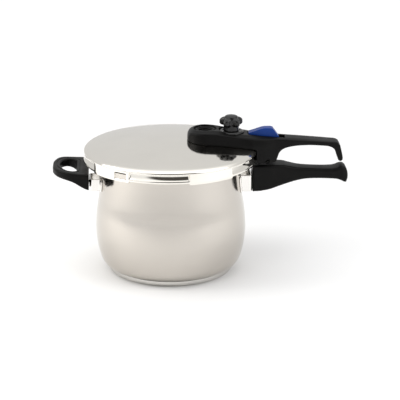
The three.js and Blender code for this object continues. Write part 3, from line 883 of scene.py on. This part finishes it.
def slider_field(x, y, z):
    body = meet(inside_polygon(x, z, slider_side), np.abs(y) - 7, 0.9)
    ribs = 0.16 * np.sin((x - 120) * 2 * math.pi / 2.6) * smooth((x - 119) / 4) * smooth((136 - x) / 4)
    return body + ribs * smooth((z - 203) / 2) * smooth((6.0 - np.abs(y)) / 1.5)


carved("lock_slider_thumb", slider_field, SLIDER_LOW, SLIDER_HIGH, 0.5, blue, "slider",
       ["lock_slider"])
carved("lock_bolt_bar", lambda x, y, z: brick(x, y, z, BOLT_LOW, BOLT_HIGH, 0.8), BOLT_LOW, BOLT_HIGH, 0.5,
       small_steel, "bolt", ["lock_bolt"])


# ---------- valves, indicator and screws ----------
def thread(radius, z0, z1, pitch=1.0, depth=0.28):
    """A run of profile points with thread-like grooves, from z0 up to z1."""
    count = int((z1 - z0) / (pitch / 2))
    return [(radius - depth * (i % 2), z0 + i * pitch / 2) for i in range(count + 1)]


turned("valve_seat_tube", [(2.5, 180.8), (2.8, 180.5), (5.6, 180.5)] + thread(6.0, 180.9, 189.7)
       + [(6, 190.4), (9.7, 190.4), (10, 190.7), (10, 192.1), (9.7, 192.4), (6.4, 192.4), (6, 192.8), (6, 195.4),
          (4.7, 196.9), (2.8, 197), (2.5, 196.7)], brass, "lid", ["valve_seat"], (VALVE_X, 0), 64)
turned("indicator_sleeve", [(3.2, 186.8), (3.4, 186.5), (4.7, 186.5)] + thread(5.0, 186.9, 192.9)
       + [(5, 193.6), (8.2, 193.6), (8.5, 193.9), (8.5, 195.1), (8.2, 195.4), (5.3, 195.4), (5, 195.7), (5, 201.1),
          (4.7, 201.4), (3.5, 201.4), (3.2, 201.1)], small_steel, "lid", ["indicator_housing"],
       (INDICATOR_X, 0), 64)
turned("safety_tube", [(3.3, 183.9), (3.5, 183.6), (4.7, 183.6)] + thread(5.0, 184.0, 191.5)
       + [(5, 192), (7.2, 192), (7.5, 192.3), (7.5, 193.5), (7.2, 193.8), (5.3, 193.8), (5, 194.0), (5, 194.7),
          (4.7, 195), (3.6, 195), (3.3, 194.7)], brass, "lid", ["safety_body"], tuple(SAFETY), 64)
turned("plunger_weight", filleted([
    (0, 194.8, 0), (1.4, 196.2, 0.4), (2, 197.3, 0.2), (6.5, 197.5, 0.6), (6.5, 203.4, 0.6), (2.2, 203.4, 0.5),
    (2.2, 211, 0.7), (0, 211, 0),
]), small_steel, "plunger", ["valve_plunger"], (VALVE_X, 0), 64)
turned("indicator_float", filleted([
    (0, 178.6, 0), (5.2, 178.6, 0.5), (5.2, 180.6, 0.5), (2.8, 180.6, 0.3), (2.8, 201.7, 0.3), (4.6, 201.7, 0.4),
    (4.6, 203.8, 0.8), (2.4, 204.6, 1.0), (0, 204.6, 0),
]), red, "indicator", ["indicator_pin"], (INDICATOR_X, 0), 64)
turned("indicator_ring", arc(4.05, 181.55, 0.64, 0, 330, 12), seal, "indicator", ["indicator_seal"],
       (INDICATOR_X, 0), 48)
turned("safety_stem", filleted([
    (0, 185.6, 0), (2.9, 185.6, 0.4), (2.9, 195.3, 0.2), (4.7, 195.3, 0.3), (4.7, 196.6, 0.4), (1.4, 196.6, 0.3),
    (1.4, 198.6, 0.5), (0, 198.6, 0),
]), small_steel, "safety", ["safety_plunger"], tuple(SAFETY), 48)


def nut_field(cx, cy, corner, bore, z0, z1):
    """A hexagon nut with chamfered corners."""

    def field(x, y, z):
        flat = corner * math.cos(math.pi / 6)
        angles = [math.radians(a) for a in (0, 60, 120)]
        d = np.max([np.abs((x - cx) * math.cos(a) + (y - cy) * math.sin(a)) - flat for a in angles], axis=0)
        r = np.hypot(x - cx, y - cy)
        body = meet(d, slab(z, z0, z1), 0.3)
        chamfer = (r + np.abs(z - (z0 + z1) / 2) * 1.7) - (corner + (z1 - z0) / 2 * 1.7 - 0.9)
        body = np.maximum(body, chamfer * 0.5)
        groove = 0.2 * np.sin(z * 2 * math.pi)
        return cut(body, r - bore - groove * 0.5, 0.3)

    return field


nuts = (
    ("valve_nut", "valve_hex_nut", 11, 6.3),
    ("indicator_nut", "indicator_hex_nut", 9, 5.3),
    ("safety_nut", "safety_hex_nut", 8, 5.3),
)
for nut, name, corner, bore in nuts:
    low, high = box(nut)
    centre = middle(nut)
    shape = nut_field(centre[0], centre[1], corner, bore, low[2], high[2])
    carved(name, shape, low, high, 0.45, small_steel, "lid", [nut])


def filter_field(x, y, z):
    dx = x - VALVE_X
    r = np.hypot(dx, y)
    cup = meet(meet(r - 9, slab(z, 173.9, 181.3), 0.8), -(meet(r - 8, slab(z, 174.9, 180.1), 0.3)), 0.3)
    cup = cut(cup, np.maximum(r - 6.35, 177.3 - z), 0.3)
    angle = np.arctan2(y, dx)
    step = 2 * math.pi / 16
    near = (angle + step / 2) % step - step / 2
    hole = np.maximum(np.hypot(near * r, (z - 177.5) * 0.8) - 0.85, 6 - r)
    cup = cut(cup, hole, 0.2)
    floor_hole = np.hypot((r - 5) * 1.0, near * 5) - 0.8
    return cut(cup, np.maximum(floor_hole, z - 176.3), 0.2)


filter_low, filter_high = box("valve_filter")
carved("filter_cup", filter_field, filter_low, filter_high, 0.42, small_steel, "lid",
       ["valve_filter"])


def screw_field(cx, cy, head_low):
    """A pan-head screw that goes up from under the lid, with a cross recess in its head."""

    def field(x, y, z):
        dx, dy = x - cx, y - cy
        r = np.hypot(dx, dy)
        crown = 0.05 * np.maximum(head_low + 1.6 - z, 0) ** 2
        head = meet(r - 4 + crown, slab(z, head_low, head_low + 2.6), 0.7)
        threads = 0.14 * np.cos(z * 2 * math.pi / 0.9)
        shank = meet(r - 1.95 + threads, slab(z, head_low + 1, head_low + 14), 0.3)
        cross = np.minimum(np.maximum(np.abs(dx) - 0.5, np.abs(dy) - 2.1),
                           np.maximum(np.abs(dy) - 0.5, np.abs(dx) - 2.1))
        return cut(join(head, shank, 0.2), np.maximum(cross, z - head_low - 1.3), 0.15)

    return field


for screw in ("handle_screw_front", "handle_screw_side"):
    low, high = box(screw)
    centre = middle(screw)
    carved(screw + "_pan", screw_field(centre[0], centre[1], low[2]), low, high, 0.4, small_steel, "lid",
           [screw])


def side_screw_field(sign, z_axis):
    def field(x, y, z):
        along = x * sign
        r = np.hypot(y, z - z_axis)
        head = meet(r - 4.45, slab(along, 112.9, 116.1), 0.8)
        shank = meet(r - 2.4 + 0.14 * np.cos(along * 2 * math.pi / 1.0), slab(along, 115, 131), 0.3)
        dz = z - z_axis
        cross = np.minimum(np.maximum(np.abs(y) - 0.55, np.abs(dz) - 2.4),
                           np.maximum(np.abs(dz) - 0.55, np.abs(y) - 2.4))
        return cut(join(head, shank, 0.2), np.maximum(cross, along - 114.4), 0.15)

    return field


for screw, sign in (("pot_handle_screw", 1), ("helper_screw", -1)):
    low, high = box(screw)
    carved(screw + "_bolt", side_screw_field(sign, middle(screw)[2]), low, high, 0.45, small_steel, "pot",
           [screw])


def coil(name, node_name, centre, wire, turns, sides=10):
    """A compression spring with closed ends."""
    low, high = box(node_name)
    radius = (high[0] - low[0]) / 2 - wire
    steps = int(turns * 28)
    height = high[2] - low[2] - 2 * wire
    verts, faces = [], []
    for i in range(steps + 1):
        t = i / steps
        a = 2 * math.pi * turns * t
        out = np.array([math.cos(a), math.sin(a), 0])
        at = np.array([centre[0], centre[1], low[2] + wire + height * t]) + radius * out
        for k in range(sides):
            b = 2 * math.pi * k / sides
            verts.append(at + wire * (math.cos(b) * out + math.sin(b) * np.array([0, 0, 1])))
    for i in range(steps):
        for k in range(sides):
            m = (k + 1) % sides
            faces.append((i * sides + k, i * sides + m, (i + 1) * sides + m, (i + 1) * sides + k))
    faces += [list(range(sides))[::-1], list(range(steps * sides, (steps + 1) * sides))]
    spring = piece(name, verts, faces, small_steel, "lid", [node_name])
    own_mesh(spring)


coil("valve_spring_coil", "valve_spring", (VALVE_X, 0), 0.5, 6)
coil("safety_spring_coil", "safety_spring", SAFETY, 0.4, 3)


# ---------- stage ----------
def stage_floor():
    """A white sweep that glows a little away from the pot, so that near and far mirror equally bright."""
    mesh = bpy.data.meshes.new("floor")
    half = 6.0
    corners = [(-half, -half, 0), (half, -half, 0), (half, half, 0), (-half, half, 0)]
    mesh.from_pydata(corners, [], [(0, 1, 2, 3)])
    material, shader = fresh_material("floor", (0.93, 0.93, 0.93), 0.0, 0.6)
    shader.inputs["Specular IOR Level"].default_value = 0.15
    tree = material.node_tree
    distance = tree.nodes.new("ShaderNodeVectorMath")
    distance.operation = "LENGTH"
    tree.links.new(tree.nodes.new("ShaderNodeTexCoord").outputs["Object"], distance.inputs[0])
    glow = tree.nodes.new("ShaderNodeMapRange")
    glow.interpolation_type = "SMOOTHSTEP"
    glow.inputs["From Min"].default_value = 0.25
    glow.inputs["From Max"].default_value = 1.3
    glow.inputs["To Max"].default_value = 0.13
    tree.links.new(distance.outputs["Value"], glow.inputs["Value"])
    tree.links.new(glow.outputs["Result"], shader.inputs["Emission Strength"])
    mesh.materials.append(material)
    floor = bpy.data.objects.new("floor", mesh)
    bpy.context.scene.collection.objects.link(floor)


def area_light(name, size, energy, location, target=(0.03, 0, 0.1), color=(1, 1, 1)):
    data = bpy.data.lights.new(name, "AREA")
    data.shape = "RECTANGLE"
    data.size, data.size_y = size
    data.energy = energy
    data.color = color
    light = bpy.data.objects.new(name, data)
    bpy.context.scene.collection.objects.link(light)
    light.location = location
    aim(light, target)
    return light


def aim(obj, target):
    from mathutils import Vector

    direction = Vector(target) - obj.location
    obj.rotation_euler = direction.to_track_quat("-Z", "Y").to_euler()


def studio():
    """A pale room with a broad bright ceiling, dark where the viewer stands, and two low cards at the sides."""
    world = bpy.data.worlds.new("studio")
    bpy.context.scene.world = world
    world.use_nodes = True
    tree = world.node_tree
    background = tree.nodes["Background"]
    way = tree.nodes.new("ShaderNodeTexCoord").outputs["Generated"]
    parts = tree.nodes.new("ShaderNodeSeparateXYZ")
    tree.links.new(way, parts.inputs[0])

    def levels(stops):
        """A grey ramp over the height of a direction, as [(height, level)]."""
        ramp = tree.nodes.new("ShaderNodeValToRGB")
        elements = ramp.color_ramp.elements
        while len(elements) < len(stops):
            elements.new(0.5)
        for element, (position, level) in zip(elements, stops):
            element.position = position
            element.color = (level, level, level, 1)
        tree.links.new(parts.outputs["Z"], ramp.inputs["Fac"])
        return ramp.outputs["Color"]

    def blend(value, low, high, first, second):
        """first below low, second above high."""
        step = tree.nodes.new("ShaderNodeMapRange")
        step.interpolation_type = "SMOOTHSTEP"
        step.inputs["From Min"].default_value = low
        step.inputs["From Max"].default_value = high
        tree.links.new(value, step.inputs["Value"])
        mix = tree.nodes.new("ShaderNodeMix")
        mix.data_type = "RGBA"
        tree.links.new(step.outputs["Result"], mix.inputs["Factor"])
        tree.links.new(first, mix.inputs["A"])
        if isinstance(second, tuple):
            mix.inputs["B"].default_value = (*second, 1)
        else:
            tree.links.new(second, mix.inputs["B"])
        return mix.outputs["Result"]

    front = levels([(0.0, 1.10), (0.1, 1.0), (0.5, 0.93), (0.8, 1.22), (1.0, 1.33)])
    behind = levels([(0.0, 0.70), (0.62, 0.74), (0.82, 1.22), (1.0, 1.33)])
    room = blend(parts.outputs["Y"], -0.15, 0.35, front, behind)
    toward = tree.nodes.new("ShaderNodeVectorMath")
    toward.operation = "DOT_PRODUCT"
    toward.inputs[1].default_value = (0.08, -0.92, 0.38)
    tree.links.new(way, toward.inputs[0])
    dark = blend(parts.outputs["Z"], 0.14, 0.24, front, (0.07, 0.066, 0.06))
    dark = blend(parts.outputs["Z"], 0.76, 0.88, dark, front)
    room = blend(toward.outputs["Value"], 0.76, 0.88, room, dark)
    tree.links.new(room, background.inputs["Color"])
    background.inputs["Strength"].default_value = 1.0
    area_light("overhead", (2.2, 2.2), 4, (0.05, 0.0, 2.2))
    area_light("left_card", (0.35, 0.6), 2.2, (-0.58, -0.05, 0.5), (-0.5, -0.05, 0.0), (1.0, 0.975, 0.93))
    area_light("right_card", (0.5, 0.5), 1.6, (0.62, -0.35, 0.6), (0.5, -0.3, 0.0))


def photo_camera():
    """The view of the reference: 18.4 degrees above the horizon, 3 degrees to the left of square."""
    distance, elevation, azimuth = 2.8, math.radians(18.352), math.radians(-3.0)
    target = (0.04317, 0.0, 0.1008)
    data = bpy.data.cameras.new("camera")
    data.sensor_width = 36
    data.lens = 171.65
    camera = bpy.data.objects.new("camera", data)
    bpy.context.scene.collection.objects.link(camera)
    camera.location = (
        target[0] + distance * math.sin(azimuth) * math.cos(elevation),
        target[1] - distance * math.cos(azimuth) * math.cos(elevation),
        target[2] + distance * math.sin(elevation),
    )
    aim(camera, target)
    bpy.context.scene.camera = camera


stage_floor()
studio()
photo_camera()
bpy.context.scene.view_settings.view_transform = "Standard"
